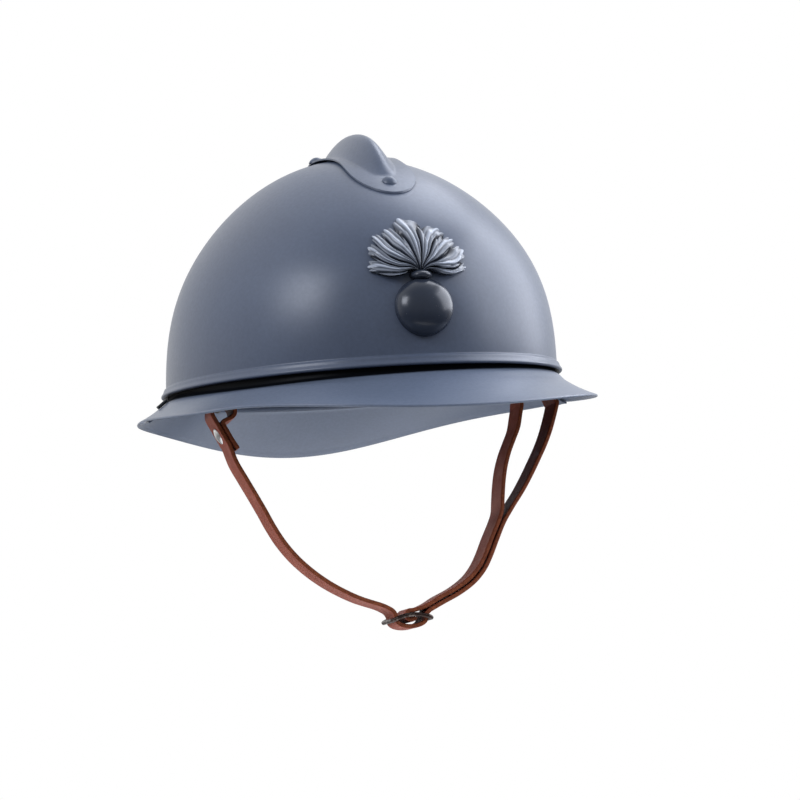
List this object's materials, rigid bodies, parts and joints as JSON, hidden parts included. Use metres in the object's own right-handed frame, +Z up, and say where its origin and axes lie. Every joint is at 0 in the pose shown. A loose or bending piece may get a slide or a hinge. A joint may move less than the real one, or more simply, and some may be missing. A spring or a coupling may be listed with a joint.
{
  "type": "adrian helmet",
  "caption": "Steel combat helmet with a rolled-rim bowl, riveted comb, front visor and neck guard, stamped badge, leather liner and a swinging leather chin strap.",
  "frame": {"origin": "centre of the head opening, in the plane of the bowl's rim", "axes": "+Z up to the comb, -Y to the front, +X to the wearer's left"},
  "size_m": [0.2156, 0.2985, 0.243],
  "materials": {
    "painted_steel": "satin blue-grey enamel on sheet steel",
    "dark_iron": "blackened",
    "aluminium_sheet": "plain rolled",
    "wool_felt": "pressed felt",
    "liner_leather": "soft blackened leather",
    "lace_cord": "twisted cotton",
    "strap_leather": "smooth red-brown",
    "pale_metal": "polished"
  },
  "bodies": {
    "shell": {"bowl": "painted_steel", "visor": "painted_steel", "neck_guard": "painted_steel", "seam_clip_right": "dark_iron", "seam_clip_left": "dark_iron", "comb": "painted_steel", "comb_rivets": "painted_steel", "badge": "painted_steel", "badge_prongs": "dark_iron", "spacer_front": "aluminium_sheet", "spacer_rear": "aluminium_sheet", "spacer_right": "aluminium_sheet", "spacer_left": "aluminium_sheet", "felt_band": "wool_felt", "liner": "liner_leather", "liner_lace": "lace_cord", "liner_clips": "aluminium_sheet", "lug_rivet_right": "dark_iron", "lug_rivet_left": "dark_iron"},
    "strap": {"lug_right": "dark_iron", "lug_left": "dark_iron", "chin_strap": "strap_leather", "strap_rivet": "pale_metal", "strap_slider": "dark_iron"},
    "bail_right": {"bail_right": "dark_iron"},
    "bail_left": {"bail_left": "dark_iron"}
  },
  "joints": [
    {"name": "strap_swing", "type": "hinge", "parent": "shell", "child": "strap", "pos_m": [0, -0.034, 0.0025], "axis": [-1, 0, 0], "range_deg": [-44, 30]},
    {"name": "bail_right_rock", "type": "hinge", "parent": "strap", "child": "bail_right", "pos_m": [-0.08306, -0.03457, -0.00297], "axis": [0, 0.9945, -0.1045], "range_deg": [0, 19]},
    {"name": "bail_left_rock", "type": "hinge", "parent": "strap", "child": "bail_left", "pos_m": [0.08306, -0.03457, -0.00297], "axis": [0, -0.9945, 0.1045], "range_deg": [0, 19]}
  ]
}
